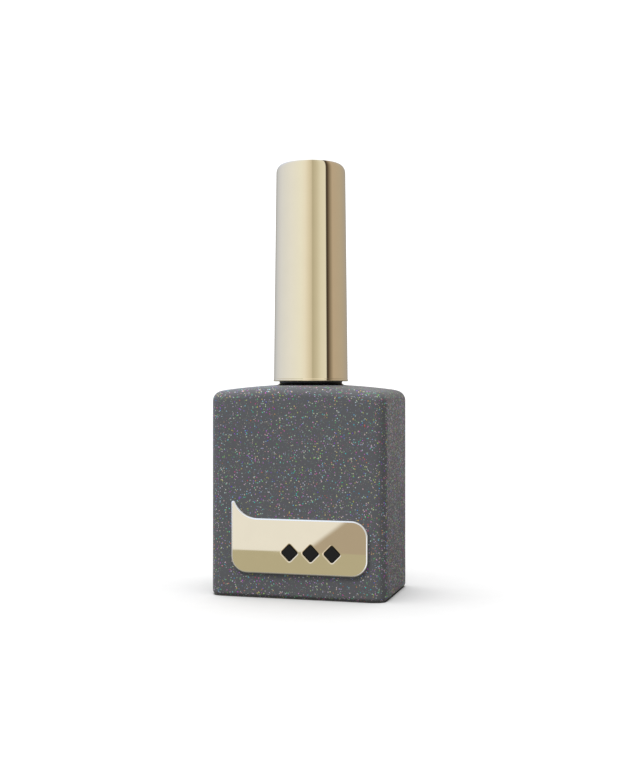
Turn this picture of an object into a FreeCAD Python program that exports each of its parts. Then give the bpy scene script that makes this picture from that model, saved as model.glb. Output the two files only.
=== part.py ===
"""Gel nail polish bottle: flat glass bottle, gold label plate and a screw cap with a brush.

Frame: millimetres, +Z up, origin under the neck's axis on the surface the bottle stands on.
The label plate is on the front, which faces -Y, and +X is to its right.
"""
import FreeCAD, Part
import Sketcher
import math
import os
import re

from FreeCAD import Placement, Rotation, Vector

SIZES = [
    # the glass bottle, outside
    ("body_width", 32.5),
    ("body_depth", 20.4),
    ("shoulder_height", 38.3),
    ("corner_radius", 2.1),
    ("crown_radius", 117.0),
    ("shoulder_fillet", 1.9),
    ("base_fillet", 0.8),
    ("rim_width", 2.4),
    ("recess_depth", 0.6),
    # the glass bottle, inside
    ("side_wall", 2.4),
    ("base_wall", 4.2),
    ("roof_wall", 2.6),
    ("cavity_fillet", 2.8),
    # the neck and its thread
    ("neck_height", 10.0),
    ("neck_radius", 4.1),
    ("neck_bore_radius", 2.6),
    ("neck_flare", 0.4),
    ("collar_land", 0.65),
    ("collar_height", 0.25),
    ("collar_flare", 0.8),
    ("lip_fillet", 0.4),
    ("thread_depth", 0.6),
    ("thread_width", 1.3),
    ("thread_pitch", 3.0),
    ("thread_turns", 1.25),
    ("thread_start", 3.6),
    # running and fitted clearances
    ("thread_clearance", 0.1),
    ("moving_clearance", 0.05),
    ("press_clearance", 0.01),
    # the gold overcap
    ("overcap_lift", 0.5),
    ("overcap_height", 40.6),
    ("overcap_taper", 0.48),
    ("overcap_wall", 0.9),
    ("overcap_roof", 1.8),
    ("overcap_crown", 0.4),
    ("overcap_edge", 1.6),
    ("bead_height", 0.4),
    ("bead_stand", 0.08),
    ("rib_count", 6),
    ("rib_width", 0.8),
    ("rib_depth", 1.0),
    # the black inner cap
    ("inner_thread_depth", 0.35),
    ("inner_thread_turns", 1.5),
    ("inner_thread_start", 2.6),
    ("inner_wall", 0.80),
    ("inner_roof", 1.3),
    ("socket_radius", 2.0),
    ("socket_depth", 3.0),
    ("socket_wall", 1.1),
    ("mouth_chamfer", 0.3),
    ("skirt_inset", 0.12),
    ("skirt_step", 0.3),
    # the sealing liner and the brush
    ("liner_thickness", 0.8),
    ("liner_side_gap", 0.4),
    ("liner_play", 0.35),
    ("flange_thickness", 1.0),
    ("flange_side_gap", 0.3),
    ("stem_top_radius", 1.35),
    ("stem_tip_radius", 1.2),
    ("brush_floor_gap", 2.0),
    ("tuft_root_radius", 0.85),
    ("tuft_root_depth", 4.0),
    ("tuft_length", 13.0),
    ("tuft_half_width", 1.8),
    ("tuft_half_depth", 0.85),
    ("staple_thickness", 0.3),
    ("staple_height", 1.6),
    # the weight in the top of the overcap
    ("weight_height", 9.0),
    ("weight_chamfer", 0.5),
    # the polish
    ("fill_below_roof", 3.0),
    # the label plate, its adhesive and its marks
    ("plate_left_margin", 4.3),
    ("plate_right_margin", 2.95),
    ("plate_bottom", 4.42),
    ("plate_height", 9.93),
    ("plate_corner", 2.95),
    ("plate_thickness", 0.5),
    ("plate_edge", 0.3),
    ("horn_sweep", 4.6),
    ("horn_tip", 0.42),
    ("adhesive_thickness", 0.1),
    ("adhesive_margin", 0.25),
    ("mark_count", 3),
    ("mark_spacing", 3.9),
    ("mark_width", 3.0),
    ("mark_height", 3.0),
    ("mark_side_margin", 10.4),
    ("mark_low_margin", 3.88),
    ("mark_depth", 0.2),
    ("mark_stand", 0.03),
    # the sticker under the bottle
    ("sticker_thickness", 0.12),
    ("sticker_margin", 1.2),
    ("sticker_corner", 1.5),
]

SHEET = "Sizes"
SMALL = 1e-4
INSIDE_UP = Rotation(Vector(1, 0, 0), 90)

doc = FreeCAD.newDocument("polish_bottle")


# ------------------------------------------------------------------ the sheet of sizes


def fill_sheet():
    """One row for each driving size, with the size's name as the cell's alias."""
    sheet = doc.addObject("Spreadsheet::Sheet", SHEET)
    for row, (name, value) in enumerate(SIZES, start=1):
        sheet.set(f"A{row}", name)
        sheet.set(f"B{row}", str(value))
        sheet.setAlias(f"B{row}", name)
    doc.recompute()
    return sheet


sizes = fill_sheet()
ALIASES = {name for name, _ in SIZES}


def bound(formula):
    """The formula as other objects write it: each size's name gets the sheet's name before it."""
    return re.sub(r"[a-z_]+", lambda w: f"{SHEET}.{w[0]}" if w[0] in ALIASES else w[0], formula)


def value(formula):
    """What a formula comes to with the sheet's present sizes."""
    found = sizes.evalExpression(formula)
    return float(getattr(found, "Value", found))


# ------------------------------------------------------------------ heights and radii that pieces share

LIP = "shoulder_height + neck_height"
COLLAR_TOP = "shoulder_height + collar_height"
LINER_BOTTOM = f"{LIP} + moving_clearance"
LINER_TOP = f"{LINER_BOTTOM} + liner_thickness"
FLANGE_BOTTOM = f"{LINER_TOP} + moving_clearance"
FLANGE_TOP = f"{FLANGE_BOTTOM} + flange_thickness"
INNER_TOP = f"{FLANGE_TOP} + inner_roof"
SKIRT_END = f"{COLLAR_TOP} + moving_clearance"
OVERCAP_BOTTOM = "shoulder_height + overcap_lift"
OVERCAP_TOP = f"{OVERCAP_BOTTOM} + overcap_height"
OVERCAP_CEILING = f"{OVERCAP_TOP} - overcap_roof"
OVERCAP_SLOPE = "overcap_taper / overcap_height"
INNER_CREST = "neck_radius + thread_depth + thread_clearance"
INNER_ROOT = f"{INNER_CREST} + inner_thread_depth"
COLLAR_RADIUS = f"{INNER_ROOT} + collar_land"
OVERCAP_RADIUS = f"{INNER_ROOT} + inner_wall + press_clearance + overcap_wall"
OVERCAP_TOP_RADIUS = f"{OVERCAP_RADIUS} - overcap_taper"
TUFT_END = "base_wall + brush_floor_gap"
STEM_END = f"{TUFT_END} + tuft_length"
PLATE_LEFT = "body_width / 2 - plate_left_margin"
PLATE_RIGHT = "body_width / 2 - plate_right_margin"
PLATE_TOP = "plate_bottom + plate_height"
FRONT = "body_depth / 2"
CAVITY_ROOF = "shoulder_height - roof_wall"


def overcap_bore(height):
    """Radius of the overcap's inner wall at a height: it tapers with the outside."""
    rise = f"( {height} - ( {OVERCAP_BOTTOM} ) )"
    return f"{OVERCAP_RADIUS} - overcap_wall - {rise} * {OVERCAP_SLOPE}"


# ------------------------------------------------------------------ drawing helpers


def new_body(label):
    body = doc.addObject("PartDesign::Body", label)
    body.Label = label
    return body


def origin_feature(body, role):
    return next(part for part in body.Origin.OriginFeatures if part.Role == role)


def attached_sketch(body, name, plane, offset=None):
    """A sketch on one of the body's own origin planes, moved along the plane's normal by a formula."""
    sketch = body.newObject("Sketcher::SketchObject", name)
    sketch.AttachmentSupport = [(origin_feature(body, plane), "")]
    sketch.MapMode = "FlatFace"
    if offset is not None:
        sketch.setExpression(".AttachmentOffset.Base.z", bound(offset))
    return sketch


def pin_corner(sketch, edge, end, corner):
    """Hold one end of an edge at a corner, given as two formulas."""
    across, up = corner
    for kind, formula, axis in (("DistanceX", across, -2), ("DistanceY", up, -1)):
        place = value(formula)
        if formula == "0":
            sketch.addConstraint(Sketcher.Constraint("PointOnObject", edge, end, axis))
        else:
            index = sketch.addConstraint(Sketcher.Constraint(kind, -1, 1, edge, end, place))
            sketch.setExpression(f"Constraints[{index}]", bound(formula))


def arc_between(start, end, radius):
    """The shorter arc from start to end. A positive radius bulges to the right of the way it is drawn."""
    chord = end - start
    middle = start + chord * 0.5
    left = Vector(-chord.y, chord.x, 0).normalize()
    rise = math.sqrt(max(radius * radius - (chord.Length / 2) ** 2, 0.0))
    centre = middle + left * math.copysign(rise, radius)
    first = math.atan2(start.y - centre.y, start.x - centre.x)
    last = math.atan2(end.y - centre.y, end.x - centre.x)
    circle = Part.Circle(centre, Vector(0, 0, 1), abs(radius))
    if radius > 0:
        return Part.ArcOfCircle(circle, first, last), 1, 2
    return Part.ArcOfCircle(circle, last, first), 2, 1


def draw_outline(sketch, corners, arcs=None):
    """A closed outline through corners, each two formulas. arcs gives an edge's radius by its number."""
    arcs = arcs or {}
    points = [Vector(value(across), value(up), 0) for across, up in corners]
    ends = []
    for number, start in enumerate(points):
        end = points[(number + 1) % len(points)]
        if number in arcs:
            sign, formula = arcs[number]
            curve, first, last = arc_between(start, end, sign * value(formula))
            edge = sketch.addGeometry(curve, False)
            index = sketch.addConstraint(Sketcher.Constraint("Radius", edge, abs(value(formula))))
            sketch.setExpression(f"Constraints[{index}]", bound(formula))
        else:
            edge = sketch.addGeometry(Part.LineSegment(start, end), False)
            first, last = 1, 2
        ends.append((edge, first, last))
    for number, (edge, first, _) in enumerate(ends):
        before, _, last = ends[number - 1]
        sketch.addConstraint(Sketcher.Constraint("Coincident", before, last, edge, first))
        pin_corner(sketch, edge, first, corners[number])


def turned(body, name, corners, arcs=None, cut=False):
    """A revolved feature round the body's Z axis, from an outline of (radius, height) corners."""
    sketch = attached_sketch(body, f"{name}_outline", "XZ_Plane")
    draw_outline(sketch, corners, arcs)
    feature = body.newObject("PartDesign::Groove" if cut else "PartDesign::Revolution", name)
    feature.Profile = (sketch, [""])
    feature.ReferenceAxis = (sketch, ["V_Axis"])
    feature.Angle = 360
    doc.recompute()
    return feature


def padded(body, name, sketch, length, reverse=False, cut=False):
    """A pad or pocket whose length is a formula."""
    feature = body.newObject("PartDesign::Pocket" if cut else "PartDesign::Pad", name)
    feature.Profile = (sketch, [""])
    feature.Reversed = reverse
    feature.setExpression("Length", bound(length))
    doc.recompute()
    return feature


def rounded_edges(body, name, base, chosen, radius):
    """A fillet on the base feature's edges that chosen() picks."""
    names = [f"Edge{i}" for i, edge in enumerate(base.Shape.Edges, start=1) if chosen(edge)]
    fillet = body.newObject("PartDesign::Fillet", name)
    fillet.Base = (base, names)
    fillet.setExpression("Radius", bound(radius))
    doc.recompute()
    return fillet


def box_corners(half_width, half_depth):
    return [
        (f"0 - ( {half_width} )", f"0 - ( {half_depth} )"),
        (half_width, f"0 - ( {half_depth} )"),
        (half_width, half_depth),
        (f"0 - ( {half_width} )", half_depth),
    ]


def is_upright(edge):
    box = edge.BoundBox
    return box.ZLength > SMALL and max(box.XLength, box.YLength) < SMALL


def at_height(height, slack):
    """Picks edges whose whole length lies within slack of a height."""
    return lambda edge: edge.BoundBox.ZMin > height - slack and edge.BoundBox.ZMax < height + slack


def rounded_block(body, half_width, half_depth, bottom, height, corner):
    """An upright block with rounded vertical edges."""
    sketch = attached_sketch(body, "footprint", "XY_Plane", bottom)
    draw_outline(sketch, box_corners(half_width, half_depth))
    block = padded(body, "block", sketch, height)
    return rounded_edges(body, "vertical_edges", block, is_upright, corner)


def boolean(kind, label, base, tool):
    result = doc.addObject(f"Part::{kind}", label)
    result.Label = label
    result.Base = base
    result.Tool = tool
    doc.recompute()
    return result


def thread_ridge(label, radius, outward, depth, start, turns):
    """A helical ridge of the neck finish's pitch. Its root is sunk a little into the wall it grows from."""
    side = 1 if outward else -1
    sunk = "moving_clearance"
    helix = doc.addObject("Part::Helix", f"{label}_helix")
    helix.setExpression("Pitch", bound("thread_pitch"))
    helix.setExpression("Height", bound(f"thread_pitch * {turns}"))
    helix.setExpression("Radius", bound(radius))
    helix.SegmentLength = 0
    helix.setExpression(".Placement.Base.z", bound(start))
    profile = doc.addObject("Sketcher::SketchObject", f"{label}_profile")
    profile.Placement = Placement(Vector(0, 0, 0), INSIDE_UP)
    profile.setExpression(".Placement.Base.z", bound(start))
    sign = "+" if side > 0 else "-"
    back = "-" if side > 0 else "+"
    corners = [
        (f"{radius} {back} {sunk}", "0 - thread_width / 2"),
        (f"{radius} {sign} {depth}", "0 - thread_width / 5"),
        (f"{radius} {sign} {depth}", "thread_width / 5"),
        (f"{radius} {back} {sunk}", "thread_width / 2"),
    ]
    draw_outline(profile, corners)
    doc.recompute()
    ridge = doc.addObject("Part::Sweep", f"{label}_ridge")
    ridge.Sections = [profile]
    ridge.Spine = (helix, [f"Edge{i + 1}" for i in range(len(helix.Shape.Edges))])
    ridge.Solid = True
    ridge.Frenet = True
    doc.recompute()
    return ridge


# ------------------------------------------------------------------ the bottle


def make_bottle_outside():
    """Block with a domed shoulder, rounded edges, a recessed underside and a flared round neck."""
    body = new_body("bottle_outside")
    half_width, half_depth = "body_width / 2", FRONT
    block = rounded_block(body, half_width, half_depth, "0", "shoulder_height", "corner_radius")
    reach = "( body_width + body_depth ) / 2"
    dip = f"crown_radius - sqrt( crown_radius ^ 2 - ( {reach} ) ^ 2 )"
    above = "shoulder_height + 1"
    crown = [
        ("0", "shoulder_height"),
        (reach, f"shoulder_height - ( {dip} )"),
        (reach, above),
        ("0", above),
    ]
    crowned = turned(body, "shoulder_crown", crown, {0: (-1, "crown_radius")}, cut=True)
    crown_slack = value(dip) + 0.5
    top = at_height(value("shoulder_height"), crown_slack)
    shoulder = rounded_edges(body, "shoulder_edge", crowned, top, "shoulder_fillet")
    base = rounded_edges(body, "base_edge", shoulder, at_height(0, SMALL), "base_fillet")
    recess = attached_sketch(body, "recess_outline", "XY_Plane")
    margin = "( base_fillet + rim_width )"
    draw_outline(recess, box_corners(f"{half_width} - {margin}", f"{half_depth} - {margin}"))
    hollow = padded(body, "base_recess", recess, "recess_depth", reverse=True, cut=True)
    middle = value("recess_depth") / 2
    in_recess = lambda edge: is_upright(edge) and at_height(middle, middle + SMALL)(edge)
    rounded_edges(body, "recess_corners", hollow, in_recess, "rim_width")
    collar_foot = f"{COLLAR_RADIUS} + collar_flare"
    foot_height = f"shoulder_height - ( {collar_foot} ) ^ 2 / ( 2 * crown_radius ) - moving_clearance / 2"
    neck = [
        ("0", "shoulder_height - roof_wall / 2"),
        (collar_foot, "shoulder_height - roof_wall / 2"),
        (collar_foot, foot_height),
        (COLLAR_RADIUS, COLLAR_TOP),
        ("neck_radius + neck_flare", COLLAR_TOP),
        ("neck_radius", f"{COLLAR_TOP} + neck_flare"),
        ("neck_radius", f"{LIP} - lip_fillet"),
        ("neck_radius - lip_fillet", LIP),
        ("0", LIP),
    ]
    curves = {2: (-1, "collar_flare * 1.15"), 4: (-1, "neck_flare"), 6: (1, "lip_fillet")}
    turned(body, "neck", neck, curves)
    return body


def make_bottle_cavity():
    """The hollow: a block with every edge rounded, and the bore up through the neck."""
    body = new_body("bottle_cavity")
    block = rounded_block(
        body,
        "body_width / 2 - side_wall",
        f"{FRONT} - side_wall",
        "base_wall",
        f"{CAVITY_ROOF} - base_wall",
        "cavity_fillet",
    )
    floor, roof = value("base_wall"), value(CAVITY_ROOF)
    ends = lambda edge: at_height(floor, SMALL)(edge) or at_height(roof, SMALL)(edge)
    rounded_edges(body, "floor_and_roof_edges", block, ends, "cavity_fillet * 0.9")
    bore = [
        ("0", f"{CAVITY_ROOF} - roof_wall"),
        ("neck_bore_radius", f"{CAVITY_ROOF} - roof_wall"),
        ("neck_bore_radius", f"{LIP} + lip_fillet"),
        ("0", f"{LIP} + lip_fillet"),
    ]
    turned(body, "neck_bore", bore)
    return body


def make_glass_bottle(cavity):
    outside = make_bottle_outside()
    start = "shoulder_height + thread_start"
    ridge = thread_ridge("neck_thread", "neck_radius", True, "thread_depth", start, "thread_turns")
    threaded = boolean("Fuse", "threaded_outside", outside, ridge)
    return boolean("Cut", "glass_bottle", threaded, cavity)


def make_gel_polish(cavity):
    """The polish fills the hollow to its level, with a round well left clear for the brush."""
    level = doc.addObject("Part::Box", "fill_level")
    level.setExpression("Length", bound("body_width"))
    level.setExpression("Width", bound("body_depth"))
    level.setExpression("Height", bound(f"{CAVITY_ROOF} - fill_below_roof"))
    level.setExpression(".Placement.Base.x", bound("0 - body_width / 2"))
    level.setExpression(".Placement.Base.y", bound(f"0 - {FRONT}"))
    filled = boolean("Common", "filled_hollow", cavity, level)
    well = doc.addObject("Part::Cylinder", "brush_well")
    well.setExpression("Radius", bound("neck_bore_radius"))
    well.setExpression("Height", bound("shoulder_height"))
    well.setExpression(".Placement.Base.z", bound(f"( base_wall + {TUFT_END} ) / 2"))
    return boolean("Cut", "gel_polish", filled, well)


def make_base_sticker():
    """A blank sticker on the recess's ceiling."""
    body = new_body("base_sticker")
    margin = "( base_fillet + rim_width + sticker_margin )"
    rounded_block(
        body,
        f"body_width / 2 - {margin}",
        f"{FRONT} - {margin}",
        "recess_depth - sticker_thickness",
        "sticker_thickness",
        "sticker_corner",
    )
    return body


# ------------------------------------------------------------------ the label plate


def plate_outline(margin):
    """The plate's outline in the front plane, with every edge moved in by a margin.

    Its horn runs from a round tip, down a hollow sweep that meets the tip and the top edge smoothly.
    """
    left = f"0 - ( {PLATE_LEFT} ) + {margin}"
    right = f"{PLATE_RIGHT} - {margin}"
    bottom = f"plate_bottom + {margin}"
    top = f"{PLATE_TOP} - {margin}"
    corner = f"( plate_corner - {margin} )"
    sweep = f"( horn_sweep + {margin} )"
    sweep_x = f"0 - ( {PLATE_LEFT} ) + horn_sweep + horn_tip"
    sweep_z = f"{PLATE_TOP} + horn_sweep"
    drop = "sqrt( 2 * horn_sweep * horn_tip + horn_tip ^ 2 )"
    share = f"{sweep} / ( horn_sweep + horn_tip )"
    corners = [
        (f"{left} + {corner}", bottom),
        (f"{right} - {corner}", bottom),
        (right, f"{bottom} + {corner}"),
        (right, f"{top} - {corner}"),
        (f"{right} - {corner}", top),
        (sweep_x, top),
        (f"{sweep_x} - horn_sweep * {share}", f"{sweep_z} - {drop} * {share}"),
        (left, f"{sweep_z} - {drop}"),
        (left, f"{bottom} + {corner}"),
    ]
    arcs = {
        1: (1, corner),
        3: (1, corner),
        5: (-1, sweep),
        6: (1, f"horn_tip - {margin}"),
        8: (1, corner),
    }
    return corners, arcs


def front_slab(label, outline, face, thickness):
    """A flat piece that stands out from the front by thickness, its back at face."""
    body = new_body(label)
    sketch = attached_sketch(body, "outline", "XZ_Plane", face)
    corners, arcs = outline
    draw_outline(sketch, corners, arcs)
    slab = padded(body, "slab", sketch, thickness)
    return body, slab


def mark_outline(number):
    """A lozenge in the plate, number counted from the left."""
    row_middle = f"{PLATE_RIGHT} - mark_side_margin"
    middle = f"{row_middle} + ( {number} - ( mark_count - 1 ) / 2 ) * mark_spacing"
    level = "plate_bottom + mark_low_margin"
    corners = [
        (f"{middle} - mark_width / 2", level),
        (middle, f"{level} - mark_height / 2"),
        (f"{middle} + mark_width / 2", level),
        (middle, f"{level} + mark_height / 2"),
    ]
    return corners, {}


PLATE_BACK = f"{FRONT} + adhesive_thickness"
PLATE_FACE = f"{PLATE_BACK} + plate_thickness"
MARK_BACK = f"{PLATE_FACE} - mark_depth"


def make_label_plate():
    """The polished plate, with softened front edges and a pocket for each mark."""
    body, slab = front_slab("label_plate", plate_outline("0"), PLATE_BACK, "plate_thickness")
    face = -value(PLATE_FACE)
    front_edge = lambda edge: abs(edge.BoundBox.YMin - face) + abs(edge.BoundBox.YMax - face) < 1e-4
    rounded_edges(body, "soft_edge", slab, front_edge, "plate_edge")
    for number in range(int(value("mark_count"))):
        pocket_outline = attached_sketch(body, f"pocket_{number + 1}_outline", "XZ_Plane", PLATE_FACE)
        corners, arcs = mark_outline(number)
        draw_outline(pocket_outline, corners, arcs)
        padded(body, f"pocket_{number + 1}", pocket_outline, "mark_depth", cut=True)
    return body


def make_plate_adhesive():
    outline = plate_outline("adhesive_margin")
    return front_slab("plate_adhesive", outline, FRONT, "adhesive_thickness")[0]


def make_mark(number):
    """Black enamel that fills a pocket and stands just proud of the plate."""
    outline = mark_outline(number)
    return front_slab(f"mark_{number + 1}", outline, MARK_BACK, "mark_depth + mark_stand")[0]


# ------------------------------------------------------------------ the cap


def make_overcap():
    """The metallised shell: tapered wall, domed crown, rim bead, and ribs that stop the inner cap."""
    body = new_body("overcap")
    bead_top = f"{OVERCAP_BOTTOM} + bead_height"
    crown_foot = f"{OVERCAP_TOP} - overcap_crown"
    wall_at_bead = f"{OVERCAP_RADIUS} - bead_height * {OVERCAP_SLOPE}"
    bead = f"{OVERCAP_RADIUS} + bead_stand"
    outline = [
        ("0", OVERCAP_TOP),
        ("0", OVERCAP_CEILING),
        (overcap_bore(OVERCAP_CEILING), OVERCAP_CEILING),
        (overcap_bore(OVERCAP_BOTTOM), OVERCAP_BOTTOM),
        (f"{bead} - 2 * bead_stand", OVERCAP_BOTTOM),
        (bead, f"{OVERCAP_BOTTOM} + 2 * bead_stand"),
        (bead, f"{bead_top} - bead_stand"),
        (wall_at_bead, bead_top),
        (OVERCAP_TOP_RADIUS, crown_foot),
    ]
    crown = f"( ( {OVERCAP_TOP_RADIUS} ) ^ 2 + overcap_crown ^ 2 ) / ( 2 * overcap_crown )"
    shell = turned(body, "shell", outline, {8: (1, crown)})
    crown_edge = at_height(value(crown_foot), 0.05)
    rounded = rounded_edges(body, "crown_edge", shell, crown_edge, "overcap_edge")
    rib_outline = attached_sketch(body, "rib_outline", "XZ_Plane")
    rib_foot = f"{INNER_TOP} + moving_clearance"
    into_wall = "overcap_wall / 2"
    draw_outline(
        rib_outline,
        [
            (f"{overcap_bore(rib_foot)} - rib_depth", rib_foot),
            (f"{overcap_bore(rib_foot)} + {into_wall}", rib_foot),
            (f"{overcap_bore(OVERCAP_CEILING)} + {into_wall}", f"{OVERCAP_CEILING} + {into_wall}"),
            (f"{overcap_bore(OVERCAP_CEILING)} - rib_depth", f"{OVERCAP_CEILING} + {into_wall}"),
        ],
    )
    rib = padded(body, "rib", rib_outline, "rib_width")
    rib.SideType = "Symmetric"
    ribs = body.newObject("PartDesign::PolarPattern", "ribs")
    ribs.Originals = [rib]
    ribs.Axis = (origin_feature(body, "Z_Axis"), [""])
    ribs.Angle = 360
    ribs.setExpression("Occurrences", bound("rib_count"))
    body.Tip = ribs
    doc.recompute()
    assert rounded.Shape.Volume < ribs.Shape.Volume, "the overcap's ribs added nothing"
    return body


def make_inner_cap():
    """The black screw cap: tapered skirt, cut-back inner thread, roof and a socket for the brush."""
    fit = "press_clearance"
    body = new_body("inner_cap_blank")
    skirt = f"{overcap_bore(OVERCAP_BOTTOM)} - skirt_inset"
    step = f"{OVERCAP_BOTTOM} + skirt_step"
    outer_low = f"{overcap_bore(step)} - {fit}"
    outer_top = f"{overcap_bore(INNER_TOP)} - {fit}"
    boss = "socket_radius + socket_wall"
    socket_top = f"{FLANGE_TOP} + socket_depth"
    outline = [
        ("0", f"{socket_top} + socket_wall"),
        ("0", socket_top),
        ("socket_radius", socket_top),
        ("socket_radius", FLANGE_TOP),
        (INNER_ROOT, FLANGE_TOP),
        (INNER_ROOT, f"{SKIRT_END} + mouth_chamfer"),
        (f"{INNER_ROOT} + mouth_chamfer", SKIRT_END),
        (skirt, SKIRT_END),
        (skirt, step),
        (outer_low, step),
        (outer_top, INNER_TOP),
        (boss, INNER_TOP),
        (boss, f"{socket_top} + socket_wall"),
    ]
    turned(body, "cap_wall", outline)
    start = "shoulder_height + inner_thread_start"
    ridge = thread_ridge(
        "inner_thread", INNER_ROOT, False, "inner_thread_depth", start, "inner_thread_turns"
    )
    return boolean("Fuse", "inner_cap", body, ridge)


def make_cap_weight():
    """A chamfered slug, centred by the overcap's ribs and held up against its ceiling."""
    body = new_body("cap_weight")
    top = f"{OVERCAP_CEILING} - thread_clearance"
    bottom = f"{top} - weight_height"
    radius = f"{overcap_bore(OVERCAP_CEILING)} - rib_depth - thread_clearance"
    outline = [
        ("0", bottom),
        (f"{radius} - weight_chamfer", bottom),
        (radius, f"{bottom} + weight_chamfer"),
        (radius, f"{top} - weight_chamfer"),
        (f"{radius} - weight_chamfer", top),
        ("0", top),
    ]
    turned(body, "slug", outline)
    return body


def make_sealing_liner():
    body = new_body("sealing_liner")
    hole = "stem_top_radius + liner_play"
    rim = f"{INNER_CREST} - liner_side_gap"
    outline = [(hole, LINER_BOTTOM), (rim, LINER_BOTTOM), (rim, LINER_TOP), (hole, LINER_TOP)]
    turned(body, "washer", outline)
    return body


# ------------------------------------------------------------------ the brush


def make_brush_stem():
    """Plug, flange and tapering rod, with a blind hole in its end for the bristles."""
    body = new_body("brush_stem")
    plug = "socket_radius - press_clearance"
    plug_top = f"{FLANGE_TOP} + socket_depth - moving_clearance"
    flange = f"{INNER_CREST} - flange_side_gap"
    bevel = "mouth_chamfer"
    outline = [
        ("0", f"{STEM_END} + tuft_root_depth"),
        ("tuft_root_radius", f"{STEM_END} + tuft_root_depth"),
        ("tuft_root_radius", STEM_END),
        (f"stem_tip_radius - {bevel} / 3", STEM_END),
        ("stem_tip_radius", f"{STEM_END} + {bevel} / 3"),
        ("stem_top_radius", FLANGE_BOTTOM),
        (flange, FLANGE_BOTTOM),
        (flange, FLANGE_TOP),
        (plug, FLANGE_TOP),
        (plug, f"{plug_top} - {bevel}"),
        (f"{plug} - {bevel}", plug_top),
        ("0", plug_top),
    ]
    turned(body, "stem", outline)
    return body


def staple_block(label, spare):
    """The anchor's block, or with some spare the slot that it leaves in the bristles."""
    block = doc.addObject("Part::Box", label)
    block.Label = label
    half_length = f"( tuft_root_radius - moving_clearance + {spare} )"
    half_thickness = f"( staple_thickness / 2 + {spare} )"
    block.setExpression("Length", bound(f"2 * {half_length}"))
    block.setExpression("Width", bound(f"2 * {half_thickness}"))
    block.setExpression("Height", bound(f"staple_height + 2 * {spare}"))
    block.setExpression(".Placement.Base.x", bound(f"0 - {half_length}"))
    block.setExpression(".Placement.Base.y", bound(f"0 - {half_thickness}"))
    low = f"{STEM_END} + ( tuft_root_depth - staple_height ) / 2 - {spare}"
    block.setExpression(".Placement.Base.z", bound(low))
    doc.recompute()
    return block


def make_bristle_tuft():
    """Round where the stem grips it, fanning out below, and flattened front and back."""
    body = new_body("round_tuft")
    root = "tuft_root_radius - press_clearance"
    root_top = f"{STEM_END} + tuft_root_depth - press_clearance"
    outline = [
        ("0", TUFT_END),
        ("tuft_half_width * 0.6", TUFT_END),
        ("tuft_half_width", f"{TUFT_END} + tuft_length / 6"),
        ("tuft_half_width * 0.9", f"{STEM_END} - tuft_length / 2"),
        (root, STEM_END),
        (root, root_top),
        ("0", root_top),
    ]
    turned(body, "fan", outline)
    flats = doc.addObject("Part::Box", "tuft_flats")
    flats.setExpression("Length", bound("2 * tuft_half_width"))
    flats.setExpression("Width", bound("2 * tuft_half_depth"))
    flats.setExpression("Height", bound(f"{root_top} - ( {TUFT_END} )"))
    flats.setExpression(".Placement.Base.x", bound("0 - tuft_half_width"))
    flats.setExpression(".Placement.Base.y", bound("0 - tuft_half_depth"))
    flats.setExpression(".Placement.Base.z", bound(TUFT_END))
    whole = boolean("Common", "flat_tuft", body, flats)
    return boolean("Cut", "bristle_tuft", whole, staple_block("staple_slot", "press_clearance"))


# ------------------------------------------------------------------ building, checking and writing


def build_all():
    cavity = make_bottle_cavity()
    pieces = [
        make_glass_bottle(cavity),
        make_gel_polish(cavity),
        make_base_sticker(),
        make_plate_adhesive(),
        make_label_plate(),
        make_overcap(),
        make_inner_cap(),
        make_cap_weight(),
        make_sealing_liner(),
        make_brush_stem(),
        make_bristle_tuft(),
        staple_block("tuft_staple", "0"),
    ]
    pieces += [make_mark(number) for number in range(int(value("mark_count")))]
    doc.recompute()
    return pieces


def check_document(pieces):
    """Stop on any failed object, or on a piece that is not one or more closed, valid solids."""
    for thing in doc.Objects:
        bad = {"Invalid", "Error"} & set(thing.State)
        assert not bad, f"{thing.Name} is {bad}: {thing.getStatusString()}"
    for piece in pieces:
        shape = piece.Shape
        assert not shape.isNull() and shape.isValid(), f"{piece.Label} has no valid shape"
        assert len(shape.Solids) == 1, f"{piece.Label} has {len(shape.Solids)} solids"


def write_pieces(pieces):
    os.makedirs("parts", exist_ok=True)
    for piece in pieces:
        piece.Shape.exportStep(os.path.join("parts", f"{piece.Label}.step"))
        print(f"{piece.Label}: {piece.Shape.Volume:.2f} mm3")


pieces = build_all()
check_document(pieces)
write_pieces(pieces)
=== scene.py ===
"""The looks of a gel nail polish bottle: coated glass, gold front plate, gold cap and brush.

Lengths named here are in millimetres and become metres in the meshes. The front faces -Y.
"""
import math

import bmesh
import bpy
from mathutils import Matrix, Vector


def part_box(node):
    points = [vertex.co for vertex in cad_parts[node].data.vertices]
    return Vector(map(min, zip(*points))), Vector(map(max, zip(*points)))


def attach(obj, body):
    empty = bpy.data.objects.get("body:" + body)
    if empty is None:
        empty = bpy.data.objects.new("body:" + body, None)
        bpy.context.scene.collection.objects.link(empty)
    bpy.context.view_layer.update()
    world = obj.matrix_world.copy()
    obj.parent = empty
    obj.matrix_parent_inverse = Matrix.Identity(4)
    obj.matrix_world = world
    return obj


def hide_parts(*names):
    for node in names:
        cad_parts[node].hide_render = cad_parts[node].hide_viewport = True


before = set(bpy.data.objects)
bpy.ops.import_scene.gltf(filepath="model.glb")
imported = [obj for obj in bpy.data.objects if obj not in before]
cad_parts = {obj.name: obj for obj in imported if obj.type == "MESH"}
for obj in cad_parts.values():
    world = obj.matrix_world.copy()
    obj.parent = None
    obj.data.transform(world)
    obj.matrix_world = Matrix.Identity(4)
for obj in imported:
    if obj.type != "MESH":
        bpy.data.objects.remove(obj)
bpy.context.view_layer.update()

MM = 0.001
QUARTER = math.pi / 2


# ---------------------------------------------------------------- sizes, from the frame where it has them


def box_mm(node):
    low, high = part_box(node)
    return Vector(low) / MM, Vector(high) / MM


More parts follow.
